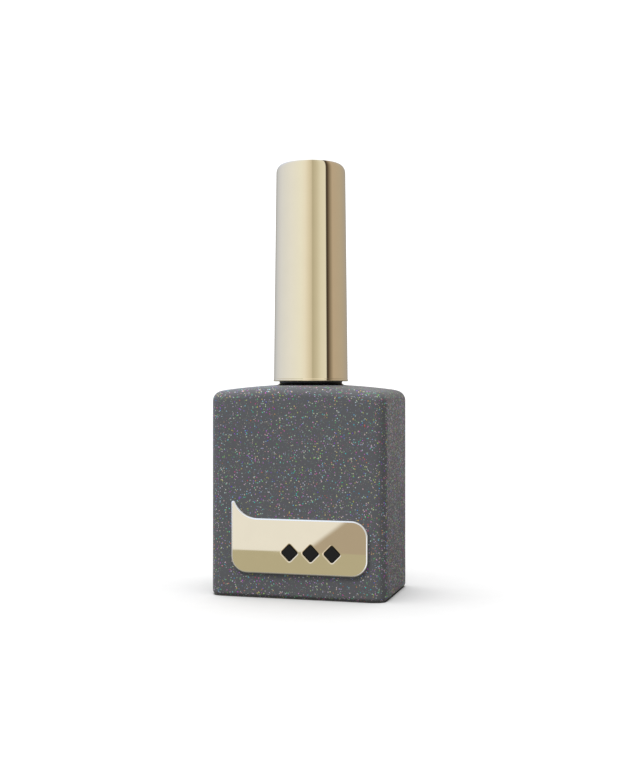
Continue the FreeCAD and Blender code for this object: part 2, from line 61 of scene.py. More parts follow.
BOTTLE_HIGH = box_mm("glass_bottle")[1]
OVERCAP_LOW, OVERCAP_HIGH = box_mm("overcap")
PLATE_LOW, PLATE_HIGH = box_mm("label_plate")
TUFT_LOW, TUFT_HIGH = box_mm("bristle_tuft")

HALF_WIDTH = BOTTLE_HIGH.x
HALF_DEPTH = BOTTLE_HIGH.y
LIP = BOTTLE_HIGH.z

CORNER = 2.1
CROWN_RADIUS = 117.0
SHOULDER_FILLET = 1.9
BASE_FILLET = 0.8
RIM_WIDTH = 2.4
RECESS_DEPTH = 0.6
NECK_HEIGHT = 10.0
SHOULDER = LIP - NECK_HEIGHT
# The collar stands 0.03 above the frame's, so that no light passes under the cap's skirt.
COLLAR_HEIGHT = 0.28
COLLAR_RADIUS = 5.8
COLLAR_FLARE = 0.8
NECK_RADIUS = 4.1
NECK_FLARE = 0.4
BORE_RADIUS = 2.6
LIP_FILLET = 0.4
THREAD_DEPTH = 0.6
THREAD_WIDTH = 1.3
THREAD_PITCH = 3.0
THREAD_TURNS = 1.25
THREAD_START = 3.6
SIDE_WALL = 2.4
BASE_WALL = 4.2
ROOF_WALL = 2.6
CAVITY_CORNER = 2.8
CAVITY_FILLET = 2.5

OVERCAP_RADIUS = 6.86
OVERCAP_TAPER = 0.48
OVERCAP_WALL = 0.9
OVERCAP_ROOF = 1.8
CROWN_RISE = 0.4
CROWN_EDGE = 1.6
BEAD_HEIGHT = 0.4
BEAD_STAND = 0.08
RIB_COUNT = 6
RIB_WIDTH = 0.8
RIB_DEPTH = 1.0

PLATE_CORNER = 2.95
HORN_SWEEP = 4.6
HORN_TIP = 0.42
PLATE_EDGE = 0.3
MARK_GAP = 0.04
MARK_EDGE = 0.06

CAMERA_TURN = math.radians(15.5)
CAMERA_DISTANCE = 223.3
CAMERA_HEIGHT = 38.5
CAMERA_ASIDE = -0.16
FOCAL_LENGTH = 55.74
FRAME_SHIFT = -0.0058


# ---------------------------------------------------------------- node helpers


def new_material(name):
    material = bpy.data.materials.new(name)
    material.use_nodes = True
    tree = material.node_tree
    return material, tree, tree.nodes["Principled BSDF"]


def math_node(tree, operation, first, second=0.0, third=None, clamp=False):
    """A Math node. Each input is a socket or a plain number."""
    node = tree.nodes.new("ShaderNodeMath")
    node.operation = operation
    node.use_clamp = clamp
    for socket, given in zip(node.inputs, (first, second, third)):
        if hasattr(given, "is_output"):
            tree.links.new(given, socket)
        elif given is not None:
            socket.default_value = given
    return node.outputs[0]


def smooth_range(tree, value, low, high, to_low=0.0, to_high=1.0):
    node = tree.nodes.new("ShaderNodeMapRange")
    node.interpolation_type = "SMOOTHSTEP"
    tree.links.new(value, node.inputs["Value"])
    for name, number in (("From Min", low), ("From Max", high), ("To Min", to_low), ("To Max", to_high)):
        node.inputs[name].default_value = number
    return node.outputs["Result"]


def mix_colour(tree, share, first, second, blend="MIX"):
    node = tree.nodes.new("ShaderNodeMix")
    node.data_type = "RGBA"
    node.blend_type = blend
    for index, given in ((0, share), (6, first), (7, second)):
        socket = node.inputs[index]
        if hasattr(given, "is_output"):
            tree.links.new(given, socket)
        else:
            socket.default_value = given if index == 0 else (*given, 1.0)
    return node.outputs[2]


def object_coordinates(tree):
    return tree.nodes.new("ShaderNodeTexCoord").outputs["Object"]


def noise(tree, where, size_mm, detail=2.0):
    """Noise whose lumps are about size_mm across."""
    node = tree.nodes.new("ShaderNodeTexNoise")
    node.inputs["Scale"].default_value = 1.0 / (size_mm * MM)
    node.inputs["Detail"].default_value = detail
    tree.links.new(where, node.inputs["Vector"])
    return node.outputs["Fac"]


def bump(tree, height, depth_mm, strength=1.0):
    node = tree.nodes.new("ShaderNodeBump")
    node.inputs["Strength"].default_value = strength
    node.inputs["Distance"].default_value = depth_mm * MM
    tree.links.new(height, node.inputs["Height"])
    return node.outputs["Normal"]


# ---------------------------------------------------------------- materials


# Spacing and radius of the flecks in mm, and the share of places that hold one.
FLECK_LAYERS = ((0.40, 0.125, 0.40), (0.30, 0.11, 0.34), (0.22, 0.085, 0.26))


def fleck_layer(tree, where, side, spacing_mm, radius_mm, share):
    """One layer of scattered flecks, larger on the sides and painted brighter there as a glint: how much
    fleck there is, and its colour.
    """
    cells = tree.nodes.new("ShaderNodeTexVoronoi")
    cells.inputs["Scale"].default_value = 1.0 / (spacing_mm * MM)
    tree.links.new(where, cells.inputs["Vector"])
    random = tree.nodes.new("ShaderNodeSeparateColor")
    tree.links.new(cells.outputs["Color"], random.inputs["Color"])
    hue, chance, tint = random.outputs
    shrink = spacing_mm / radius_mm
    spread = smooth_range(tree, side, 0.85, 1.0, shrink, shrink / 1.35)
    disc = smooth_range(tree, math_node(tree, "MULTIPLY", cells.outputs["Distance"], spread), 1.0, 0.6)
    bright = smooth_range(tree, chance, 1.0 - share, 1.0)
    # Painted glint: on faces that look sideways the flecks are made up to half again as bright.
    painted_glint_lift = math_node(tree, "MULTIPLY", bright, smooth_range(tree, side, 0.85, 1.0, 1.0, 1.5))
    amount = math_node(tree, "MULTIPLY", disc, painted_glint_lift, clamp=True)
    colour = tree.nodes.new("ShaderNodeCombineColor")
    colour.mode = "HSV"
    tree.links.new(hue, colour.inputs[0])
    tree.links.new(smooth_range(tree, tint, 0.0, 1.0, 0.20, 1.0), colour.inputs[1])
    colour.inputs[2].default_value = 0.95
    return amount, colour.outputs["Color"]


def bare_neck_and_shade_ring_mask(tree, where):
    """One on the coated body, nought on the bare glass round the neck and on a ring of painted shade just
    outside the cap's foot.
    """
    split = tree.nodes.new("ShaderNodeSeparateXYZ")
    tree.links.new(where, split.inputs[0])
    across, deep, up = split.outputs
    squares = math_node(tree, "ADD", math_node(tree, "MULTIPLY", across, across),
                        math_node(tree, "MULTIPLY", deep, deep))
    # The dark reaches out to 7.25 mm, past the cap's foot: a painted shadow ring on the coat round the cap.
    outside = smooth_range(tree, math_node(tree, "SQRT", squares), 6.85 * MM, 7.25 * MM)
    below = smooth_range(tree, up, (SHOULDER - 0.6) * MM, (SHOULDER - 1.0) * MM)
    return math_node(tree, "MAXIMUM", outside, below)


def fleck_coat():
    """Satin charcoal lacquer, full of fine holographic flecks of every hue."""
    material, tree, shader = new_material("fleck_coat")
    where = object_coordinates(tree)
    coated = bare_neck_and_shade_ring_mask(tree, where)
    haze = noise(tree, where, 6.0)
    colour = mix_colour(tree, haze, (0.118, 0.121, 0.128), (0.130, 0.133, 0.140))
    facing = tree.nodes.new("ShaderNodeSeparateXYZ")
    tree.links.new(tree.nodes.new("ShaderNodeTexCoord").outputs["Normal"], facing.inputs[0])
    # How far each face looks sideways; the flecks there are enlarged and painted brighter as a glint.
    side = math_node(tree, "ABSOLUTE", facing.outputs[0])
    amount = None
    for spacing, radius, share in FLECK_LAYERS:
        layer, tint = fleck_layer(tree, where, side, spacing, radius, share)
        colour = mix_colour(tree, layer, colour, tint)
        amount = layer if amount is None else math_node(tree, "MAXIMUM", amount, layer)
    # Near black where the mask is nought: bare glass under the cap, and painted shade in the ring just
    # outside it.
    tree.links.new(mix_colour(tree, coated, (0.012, 0.012, 0.013), colour), shader.inputs["Base Color"])
    tree.links.new(smooth_range(tree, amount, 0.0, 1.0, 0.40, 0.32), shader.inputs["Roughness"])
    shader.inputs["Specular IOR Level"].default_value = 0.3
    grain = noise(tree, where, 0.12, 3.0)
    tree.links.new(bump(tree, grain, 0.005, 0.5), shader.inputs["Normal"])
    return material


def polished_gold(name, colour, roughness):
    """Mirror-bright pale gold with the faintest polishing haze."""
    material, tree, shader = new_material(name)
    where = object_coordinates(tree)
    haze = noise(tree, where, 2.5, 4.0)
    deeper = tuple(part * 0.96 for part in colour)
    tree.links.new(mix_colour(tree, haze, deeper, colour), shader.inputs["Base Color"])
    gloss = smooth_range(tree, haze, 0.3, 0.7, roughness * 0.8, roughness * 1.3)
    tree.links.new(gloss, shader.inputs["Roughness"])
    shader.inputs["Metallic"].default_value = 1.0
    return material


def plain_finish(name, colour, roughness, grain_mm, grain_depth, coat=0.0, sheen=0.0, gloss=0.5):
    """A moulded, foamed or enamelled finish: slight colour and gloss variation, and a fine grain."""
    material, tree, shader = new_material(name)
    where = object_coordinates(tree)
    cloud = noise(tree, where, grain_mm * 20)
    lighter = tuple(part * 1.12 + 0.002 for part in colour)
    tree.links.new(mix_colour(tree, cloud, colour, lighter), shader.inputs["Base Color"])
    uneven = smooth_range(tree, cloud, 0.25, 0.75, roughness * 0.88, roughness * 1.12)
    tree.links.new(uneven, shader.inputs["Roughness"])
    shader.inputs["Specular IOR Level"].default_value = gloss
    shader.inputs["Coat Weight"].default_value = coat
    shader.inputs["Sheen Weight"].default_value = sheen
    tree.links.new(bump(tree, noise(tree, where, grain_mm, 3.0), grain_depth, 0.6), shader.inputs["Normal"])
    return material


def turned_steel(name, colour):
    """Steel with fine rings left by the turning tool."""
    material, tree, shader = new_material(name)
    where = object_coordinates(tree)
    rings = tree.nodes.new("ShaderNodeTexWave")
    rings.wave_type = "BANDS"
    rings.bands_direction = "Z"
    rings.inputs["Scale"].default_value = 1.0 / (0.25 * MM) / 20
    rings.inputs["Distortion"].default_value = 0.4
    tree.links.new(where, rings.inputs["Vector"])
    tree.links.new(mix_colour(tree, rings.outputs["Fac"], colour, tuple(c * 1.2 for c in colour)),
              shader.inputs["Base Color"])
    tree.links.new(bump(tree, rings.outputs["Fac"], 0.01), shader.inputs["Normal"])
    shader.inputs["Metallic"].default_value = 1.0
    shader.inputs["Roughness"].default_value = 0.28
    return material


GOLD = (0.86, 0.72, 0.47)
FINISHES = {
    "fleck_coat": fleck_coat(),
    "bare_glass": plain_finish("bare_glass", (0.012, 0.012, 0.013), 0.16, 0.6, 0.002, coat=0.5),
    "cap_gold": polished_gold("cap_gold", GOLD, 0.022),
    "plate_gold": polished_gold("plate_gold", (0.86, 0.72, 0.51), 0.012),
    # Pale metal for the plate's outer rim, lighter than its gold: partly a cut edge, partly a painted
    # highlight along the rim.
    "cut_edge_highlight": polished_gold("cut_edge_highlight", (0.93, 0.92, 0.90), 0.16),
    "black_enamel": plain_finish("black_enamel", (0.007, 0.006, 0.005), 0.3, 0.3, 0.001, gloss=0.2),
    "cap_plastic": plain_finish("cap_plastic", (0.014, 0.014, 0.015), 0.42, 0.15, 0.004),
    "gel": plain_finish("gel", (0.030, 0.031, 0.036), 0.08, 2.0, 0.002, coat=1.0),
    "sticker_film": plain_finish("sticker_film", (0.74, 0.73, 0.70), 0.5, 0.2, 0.003),
    "adhesive_film": plain_finish("adhesive_film", (0.42, 0.40, 0.36), 0.4, 0.3, 0.003),
    "liner_foam": plain_finish("liner_foam", (0.72, 0.72, 0.69), 0.8, 0.12, 0.03, sheen=0.2),
    "stem_plastic": plain_finish("stem_plastic", (0.018, 0.018, 0.020), 0.33, 0.2, 0.003),
    "weight_steel": turned_steel("weight_steel", (0.50, 0.50, 0.52)),
    "staple_brass": polished_gold("staple_brass", (0.70, 0.54, 0.26), 0.22),
    "nylon": plain_finish("nylon", (0.055, 0.038, 0.028), 0.35, 0.1, 0.002),
}

CAD_FINISH = {
    "inner_cap": "cap_plastic",
    "gel_polish": "gel",
    "base_sticker": "sticker_film",
    "plate_adhesive": "adhesive_film",
    "cap_weight": "weight_steel",
    "sealing_liner": "liner_foam",
    "brush_stem": "stem_plastic",
    "tuft_staple": "staple_brass",
}


def finish_cad_nodes():
    for node, finish in CAD_FINISH.items():
        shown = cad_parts[node]
        shown.data.materials.clear()
        shown.data.materials.append(FINISHES[finish])


# ---------------------------------------------------------------- mesh helpers


def add_object(name, mesh, finishes):
    piece = bpy.data.objects.new(name, mesh)
    bpy.context.scene.collection.objects.link(piece)
    for finish in finishes:
        mesh.materials.append(FINISHES[finish])
    return piece


def stacked_rings(name, rings, finishes, finish_of=None):
    """A closed skin through rings of equally many points. The first and last rings are filled in."""
    build = bmesh.new()
    loops = [[build.verts.new(Vector(point) * MM) for point in ring] for ring in rings]
    for number, (low, high) in enumerate(zip(loops, loops[1:])):
        for i in range(len(low)):
            j = (i + 1) % len(low)
            face = build.faces.new((low[i], low[j], high[j], high[i]))
            face.material_index = finish_of(number) if finish_of else 0
    for number, loop in ((0, loops[0]), (len(loops) - 2, loops[-1])):
        middle = build.verts.new(sum((vert.co for vert in loop), Vector()) / len(loop))
        for i in range(len(loop)):
            face = build.faces.new((loop[i], loop[(i + 1) % len(loop)], middle))
            face.material_index = finish_of(number) if finish_of else 0
    bmesh.ops.recalc_face_normals(build, faces=build.faces)
    for face in build.faces:
        face.smooth = True
    mesh = bpy.data.meshes.new(name)
    build.to_mesh(mesh)
    build.free()
    return add_object(name, mesh, finishes)


def round_outline(half_x, half_y, radius, per_corner=10, long_side=18, short_side=12):
    """Points round a rectangle with rounded corners, counter-clockwise from the right side's foot."""
    points = []
    turns = ((1, 1), (-1, 1), (-1, -1), (1, -1))
    for corner, (sx, sy) in enumerate(turns):
        centre = Vector((sx * (half_x - radius), sy * (half_y - radius), 0))
        arc = []
        for step in range(per_corner + 1):
            angle = (corner + step / per_corner) * QUARTER
            arc.append(centre + Vector((math.cos(angle), math.sin(angle), 0)) * radius)
        points += arc
        next_sx, next_sy = turns[(corner + 1) % 4]
        next_centre = Vector((next_sx * (half_x - radius), next_sy * (half_y - radius), 0))
        angle = (corner + 1) * QUARTER
        target = next_centre + Vector((math.cos(angle), math.sin(angle), 0)) * radius
        side = long_side if corner % 2 == 0 else short_side
        for step in range(1, side):
            points.append(arc[-1].lerp(target, step / side))
    return points


def inset_ring(inset, height, corner=CORNER, half_x=None, half_y=None):
    half_x = HALF_WIDTH if half_x is None else half_x
    half_y = HALF_DEPTH if half_y is None else half_y
    outline = round_outline(half_x - inset, half_y - inset, corner - inset)
    return [Vector((point.x, point.y, height)) for point in outline]


def circle_like(ring, radius, height):
    """A circle whose points stand at the same angles as another ring's."""
    return [
        Vector((radius * math.cos(turn), radius * math.sin(turn), height))
        for turn in (math.atan2(point.y, point.x) for point in ring)
    ]


def blended(first, last, steps):
    """Rings between two rings, both left out."""
    return [
        [a.lerp(b, step / steps) for a, b in zip(first, last)]
        for step in range(1, steps)
    ]


def arc_points(centre, radius, start, end, steps):
    """(across, up) points on an arc, both ends included. Angles are in degrees."""
    points = []
    for step in range(steps + 1):
        turn = math.radians(start + (end - start) * step / steps)
        points.append((centre[0] + radius * math.cos(turn), centre[1] + radius * math.sin(turn)))
    return points


def crown_height(x, y):
    return SHOULDER - CROWN_RADIUS + math.sqrt(CROWN_RADIUS ** 2 - x * x - y * y)


# ---------------------------------------------------------------- the bottle


def base_rings():
    """Recess ceiling, recess wall, the flat rim it stands on, and the rounded bottom edge."""
    margin = BASE_FILLET + RIM_WIDTH
    recess = inset_ring(margin, RECESS_DEPTH, corner=margin + RIM_WIDTH)
    soft = 0.12
    rings = [[point * 0.5 + Vector((0, 0, RECESS_DEPTH / 2)) for point in recess], recess]
    rings.append([Vector((p.x, p.y, soft)) for p in recess])
    rings.append(inset_ring(margin - soft, 0.0, corner=margin + RIM_WIDTH))
    rings.append(inset_ring(BASE_FILLET, 0.0))
    steps = 8
    for step in range(1, steps + 1):
        turn = QUARTER * step / steps
        inset = BASE_FILLET * (1 - math.sin(turn))
        rings.append(inset_ring(inset, BASE_FILLET * (1 - math.cos(turn))))
    return rings


def shoulder_rings():
    """The upright sides' top, and the ball-rolled edge up to the domed crown."""
    ball = SHOULDER_FILLET
    outside = inset_ring(0.0, 0.0)
    track = inset_ring(ball, 0.0)
    sphere = Vector((0, 0, SHOULDER - CROWN_RADIUS))
    reach = CROWN_RADIUS - ball
    steps = 12
    rings = [[] for _ in range(steps + 1)]
    for edge, under in zip(outside, track):
        centre = Vector((under.x, under.y, sphere.z + math.sqrt(reach ** 2 - under.x ** 2 - under.y ** 2)))
        outward = Vector((edge.x - under.x, edge.y - under.y, 0)).normalized()
        upward = (centre - sphere).normalized()
        for step in range(steps + 1):
            rings[step].append(centre + outward.slerp(upward, step / steps) * ball)
    low_side = inset_ring(0.0, BASE_FILLET)
    return blended(low_side, rings[0], 10) + rings


def crown_rings(edge):
    """The domed shoulder, from its rounded edge in to the foot of the collar."""
    foot_radius = COLLAR_RADIUS + COLLAR_FLARE
    foot = circle_like(edge, foot_radius, 0)
    rings = []
    for ring in blended(edge, foot, 16) + [foot]:
        rings.append([Vector((p.x, p.y, crown_height(p.x, p.y))) for p in ring])
    return rings


def thread_stand(turn, height):
    """How far the thread stands out of the neck at an angle and a height. It fades in and out."""
    start = SHOULDER + THREAD_START
    stand = 0.0
    for lap in range(int(THREAD_TURNS) + 1):
        along = (turn % (2 * math.pi)) / (2 * math.pi) + lap
        if along > THREAD_TURNS:
            continue
        fade = min(1.0, along / 0.12, (THREAD_TURNS - along) / 0.12)
        off = abs(height - start - along * THREAD_PITCH) / (THREAD_WIDTH / 2)
        flank = max(0.0, min(1.0, (1 - off) / 0.45))
        stand = max(stand, THREAD_DEPTH * fade * flank * flank * (3 - 2 * flank))
    return stand


def neck_rings(like):
    """Collar flare and land, threaded neck, rounded lip, and the bore down to the roof."""
    top = SHOULDER + COLLAR_HEIGHT
    foot = crown_height(COLLAR_RADIUS + COLLAR_FLARE, 0)
    profile = []
    for step in range(1, 7):
        share = step / 6
        across = COLLAR_RADIUS + COLLAR_FLARE * (1 - math.sin(share * QUARTER))
        profile.append((across, top - (top - foot) * math.cos(share * QUARTER)))
    profile.append((COLLAR_RADIUS - 0.06, top + 0.02))
    profile += arc_points((NECK_RADIUS + NECK_FLARE, top + NECK_FLARE), NECK_FLARE, 270, 180, 5)
    rings = [circle_like(like, across, up) for across, up in profile]
    low, high = top + NECK_FLARE, LIP - LIP_FILLET
    steps = 64
    for step in range(1, steps):
        height = low + (high - low) * step / steps
        ring = circle_like(like, NECK_RADIUS, height)
        for point in ring:
            stand = thread_stand(math.atan2(point.y, point.x), height)
            point.xy *= (NECK_RADIUS + stand) / NECK_RADIUS
        rings.append(ring)
    lip = arc_points((NECK_RADIUS - LIP_FILLET, LIP - LIP_FILLET), LIP_FILLET, 0, 90, 6)
    inner_lip = arc_points((BORE_RADIUS + LIP_FILLET / 2, LIP - LIP_FILLET / 2), LIP_FILLET / 2, 90, 180, 4)
    roof = SHOULDER - ROOF_WALL
    rings += [circle_like(like, across, up) for across, up in lip + inner_lip]
    rings += [circle_like(like, BORE_RADIUS, roof + 0.2), circle_like(like, BORE_RADIUS + 0.2, roof)]
    return rings


def hollow_rings():
    """The inside of the bottle: roof, rounded edges, walls and floor."""
    half_x, half_y = HALF_WIDTH - SIDE_WALL, HALF_DEPTH - SIDE_WALL
    roof, floor = SHOULDER - ROOF_WALL, BASE_WALL
    rings = []
    steps = 6
    for step in range(steps + 1):
        turn = QUARTER * step / steps
        inset = CAVITY_FILLET * (1 - math.sin(turn))
        height = roof - CAVITY_FILLET * (1 - math.cos(turn))
        rings.append(inset_ring(inset, height, CAVITY_CORNER, half_x, half_y))
    for step in range(steps + 1):
        turn = QUARTER * step / steps
        inset = CAVITY_FILLET * (1 - math.cos(turn))
        height = floor + CAVITY_FILLET * (1 - math.sin(turn))
        rings.append(inset_ring(inset, height, CAVITY_CORNER, half_x, half_y))
    return rings


def make_bottle():
    base = base_rings()
    shoulder = shoulder_rings()
    crown = crown_rings(shoulder[-1])
    neck = neck_rings(crown[-1])
    rings = base + shoulder + crown + neck + hollow_rings()
    coat_start = 4
    coat_end = len(base) + len(shoulder) + len(crown) - 1

    def coated(band):
        return 0 if coat_start <= band < coat_end else 1

    piece = stacked_rings("coated_bottle", rings, ["fleck_coat", "bare_glass"], coated)
    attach(piece, "bottle")
    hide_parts("glass_bottle")


# ---------------------------------------------------------------- the front plate and its marks


def plate_outline(inset=0.0):
    """The plate seen from the front: a rounded box with a horn at its upper left."""
    left, right = PLATE_LOW.x, PLATE_HIGH.x
    bottom = PLATE_LOW.z
    reach = HORN_SWEEP + HORN_TIP
    drop = math.sqrt(reach ** 2 - HORN_SWEEP ** 2)
    top = PLATE_HIGH.z - HORN_TIP - HORN_SWEEP + drop
    round_off = PLATE_CORNER - inset
    points = []
    points += arc_points((right - PLATE_CORNER, bottom + PLATE_CORNER), round_off, -90, 0, 14)
    points += arc_points((right - PLATE_CORNER, top - PLATE_CORNER), round_off, 0, 90, 14)
    sweep = (left + reach, top + HORN_SWEEP)
    lean = math.degrees(math.atan2(drop, HORN_SWEEP))
    points += arc_points(sweep, HORN_SWEEP + inset, 270, 180 + lean, 22)
    points += arc_points((left + HORN_TIP, top + HORN_SWEEP - drop), HORN_TIP - inset, lean, 180, 12)
    points += arc_points((left + PLATE_CORNER, bottom + PLATE_CORNER), round_off, 180, 270, 14)
    return points


def lozenge(node, gap):
    """A lozenge that fills a mark's box, drawn in by a gap on each side."""
    low, high = box_mm(node)
    middle = (low + high) / 2
    across = (high.x - low.x) / 2 - gap
    up = (high.z - low.z) / 2 - gap
    tip = 0.12
    points = []
    for corner in range(4):
        turn = corner * QUARTER
        point = Vector((math.cos(turn) * across, math.sin(turn) * up))
        before = Vector((math.cos(turn - QUARTER) * across, math.sin(turn - QUARTER) * up))
        after = Vector((math.cos(turn + QUARTER) * across, math.sin(turn + QUARTER) * up))
        for share in (0.0, 0.25, 0.5, 0.75, 1.0):
            first = point.lerp(before, tip * (1 - share))
            last = point.lerp(after, tip * share)
            points.append(first.lerp(last, share))
    return [(middle.x + p.x, middle.z + p.y) for p in points]


MARKS = ("mark_1", "mark_2", "mark_3")


def outer_edge(point):
    """Whether a point on the plate's edges belongs to the outside rim, not to a mark's pocket."""
    margin = 0.6
    for node in MARKS:
        low, high = box_mm(node)
        if low.x - margin < point.x < high.x + margin and low.z - margin < point.z < high.z + margin:
            return False
    return True


def front_piece(name, outlines, back, front, edge, finishes):
    """A flat piece on the front, with rounded edges. Outlines after the first are holes in it."""
    curve = bpy.data.curves.new(name + "_outline", "CURVE")
    curve.dimensions = "2D"
    curve.fill_mode = "BOTH"
    for outline in outlines:
        spline = curve.splines.new("POLY")
        spline.points.add(len(outline) - 1)
        for point, (across, up) in zip(spline.points, outline):
            point.co = (across, up, 0, 1)
        spline.use_cyclic_u = True
    curve.extrude = (front - back) / 2 - edge
    curve.bevel_depth = edge
    curve.bevel_resolution = 3
    curve.offset = -edge
    drawn = bpy.data.objects.new(name + "_outline", curve)
    mesh = bpy.data.meshes.new_from_object(drawn)
    mesh.name = name
    mesh.materials.clear()
    middle = -(front + back) / 2
    for vert in mesh.vertices:
        across, up, out = vert.co
        vert.co = Vector((across, middle - out, up)) * MM
    clean = bmesh.new()
    clean.from_mesh(mesh)
    bmesh.ops.remove_doubles(clean, verts=clean.verts, dist=0.002 * MM)
    bmesh.ops.recalc_face_normals(clean, faces=clean.faces)
    for face in clean.faces:
        face.smooth = abs(face.normal.y) < 0.999
        # The outer rim's rounded faces take the pale rim metal, whose lightness is partly a painted
        # highlight.
        face.material_index = int(face.smooth and outer_edge(face.calc_center_median() / MM))
    clean.to_mesh(mesh)
    clean.free()
    bpy.data.objects.remove(drawn)
    return add_object(name, mesh, finishes)


def make_front_plate():
    holes = [lozenge(node, 0.0) for node in MARKS]
    back, front = -PLATE_HIGH.y, -PLATE_LOW.y
    plate = front_piece("front_plate", [plate_outline()] + holes, back, front, PLATE_EDGE,
                        ["plate_gold", "cut_edge_highlight"])
    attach(plate, "bottle")
    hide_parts("label_plate")
    for node in MARKS:
        low = box_mm(node)[0]
        inlay = front_piece(
            "enamel_" + node, [lozenge(node, MARK_GAP)], back + MARK_GAP, -low.y, MARK_EDGE, ["black_enamel"]
        )
        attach(inlay, "bottle")
        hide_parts(node)


# ---------------------------------------------------------------- the cap


def overcap_profile():
    """(radius, height) points of the gold shell, from the ceiling's middle round to the crown's middle."""
    foot, top = OVERCAP_LOW.z, OVERCAP_HIGH.z
    slope = OVERCAP_TAPER / (top - foot)

    def wall(height):
        return OVERCAP_RADIUS - (height - foot) * slope

    ceiling = top - OVERCAP_ROOF
    crown_radius = (wall(top) ** 2 + CROWN_RISE ** 2) / (2 * CROWN_RISE)
    edge_top = top - CROWN_RISE
    soft = 0.05
    points = [(0.4, ceiling), (wall(ceiling) - OVERCAP_WALL - 0.2, ceiling)]
    points += [(wall(ceiling) - OVERCAP_WALL, ceiling - 0.2), (wall(foot) - OVERCAP_WALL, foot + soft)]
    points += [(wall(foot) - OVERCAP_WALL + soft, foot)]
    outer = OVERCAP_RADIUS + BEAD_STAND
    half = BEAD_HEIGHT / 2
    bead = arc_points((outer - half * 0.9, foot + half), 1.0, -80, 62, 10)
    middle = (outer - half * 0.9, foot + half)
    for across, up in bead:
        points.append((middle[0] + (across - middle[0]) * half * 0.9, middle[1] + (up - middle[1]) * half))
    groove = foot + BEAD_HEIGHT + 0.02
    points += [(wall(groove) - 0.015, groove), (wall(groove + 0.06), groove + 0.06)]
    points += [(wall(groove + 0.08), groove + 0.08), (wall(groove + 0.12), groove + 0.12)]
    steps = 24
    upper = edge_top - CROWN_EDGE
    for step in range(1, steps + 1):
        height = groove + 0.06 + (upper - groove - 0.06) * step / steps
        points.append((wall(height), height))
    across = wall(edge_top) - CROWN_EDGE
    reach = crown_radius - CROWN_EDGE
    lean = math.degrees(math.asin(across / reach))
    level = top - crown_radius + math.sqrt(reach ** 2 - across ** 2)
    points += arc_points((across, level), CROWN_EDGE, 0, 90 - lean, 14)[1:]
    last = points[-1][0]
    for step in range(1, 14):
        across = last * (1 - step / 14)
        points.append((across, top - crown_radius + math.sqrt(crown_radius ** 2 - across ** 2)))
    return points


def turned_piece(name, profile, finishes, count=180):
    turns = [2 * math.pi * i / count for i in range(count)]
    rings = [
        [Vector((across * math.cos(turn), across * math.sin(turn), up)) for turn in turns]
        for across, up in profile
    ]
    return stacked_rings(name, rings, finishes)


def make_overcap():
    piece = turned_piece("gold_overcap", overcap_profile(), ["cap_gold"])
    piece.data.polygons.foreach_set("use_smooth", [True] * len(piece.data.polygons))
    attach(piece, "cap")
    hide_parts("overcap")


# ---------------------------------------------------------------- geometry nodes


def node_group(name, inputs):
    """A geometry tree with named number inputs."""
    tree = bpy.data.node_groups.new(name, "GeometryNodeTree")
    tree.interface.new_socket("Geometry", in_out="INPUT", socket_type="NodeSocketGeometry")
    for label, kind in inputs:
        tree.interface.new_socket(label, in_out="INPUT", socket_type=kind)
    tree.interface.new_socket("Geometry", in_out="OUTPUT", socket_type="NodeSocketGeometry")
    return tree, tree.nodes.new("NodeGroupInput"), tree.nodes.new("NodeGroupOutput")


def linked(tree, kind, links=None, **values):
    """A node with its sockets linked or set by name, and its own properties set by their names."""
    node = tree.nodes.new(kind)
    for key, given in values.items():
        setattr(node, key, given)
    for name, given in (links or {}).items():
        socket = node.inputs[name]
        if hasattr(given, "is_output"):
            tree.links.new(given, socket)
        else:
            socket.default_value = given
    return node


def random_number(tree, seed, offset, low, high):
    node = tree.nodes.new("FunctionNodeRandomValue")
    node.data_type = "FLOAT"
    node.inputs[2].default_value = low
    node.inputs[3].default_value = high
    tree.links.new(math_node(tree, "ADD", seed, offset), node.inputs["Seed"])
    return node.outputs[1]


